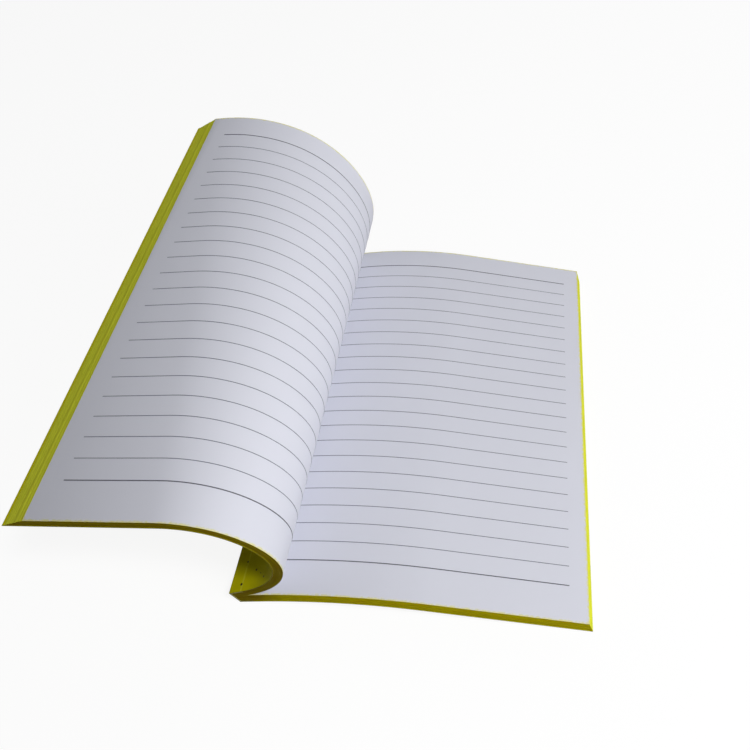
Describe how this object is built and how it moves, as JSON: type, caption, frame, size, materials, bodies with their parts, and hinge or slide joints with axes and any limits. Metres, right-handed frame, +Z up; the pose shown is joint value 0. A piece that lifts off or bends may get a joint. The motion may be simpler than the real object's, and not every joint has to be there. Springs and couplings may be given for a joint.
{
  "type": "lined notebook",
  "caption": "Open soft-cover notebook with ruled pages, its left half curled up and over and its right half lying on the table.",
  "frame": {"origin": "on the table, under the middle of the whole notebook", "axes": "+Z up; +Y along the spine from the tail of the book to its head; +X from the spine towards the right half's fore-edge"},
  "size_m": [0.2172, 0.21, 0.0899],
  "materials": {
    "paper": "smooth white offset paper, its trimmed edges stained lime",
    "glue": "dried binding glue, stained with the edges",
    "cover": "lime coloured coated card, satin",
    "ink": "matt grey printing ink"
  },
  "bodies": {
    "book": {"page_block": "paper", "binding_glue": "glue", "cover_spine": "cover", "ruled_lines": "ink"},
    "front_cover": {"front_cover": "cover"},
    "back_cover": {"back_cover": "cover"}
  },
  "joints": [
    {"name": "front_cover_hinge", "type": "hinge", "parent": "book", "child": "front_cover", "pos_m": [-0.03491, 0, 0.01221], "axis": [0, -1, 0], "range_deg": [0, 36]},
    {"name": "back_cover_hinge", "type": "hinge", "parent": "book", "child": "back_cover", "pos_m": [-0.03179, 0, 0.00176], "axis": [0, 1, 0], "range_deg": [0, 120]}
  ]
}
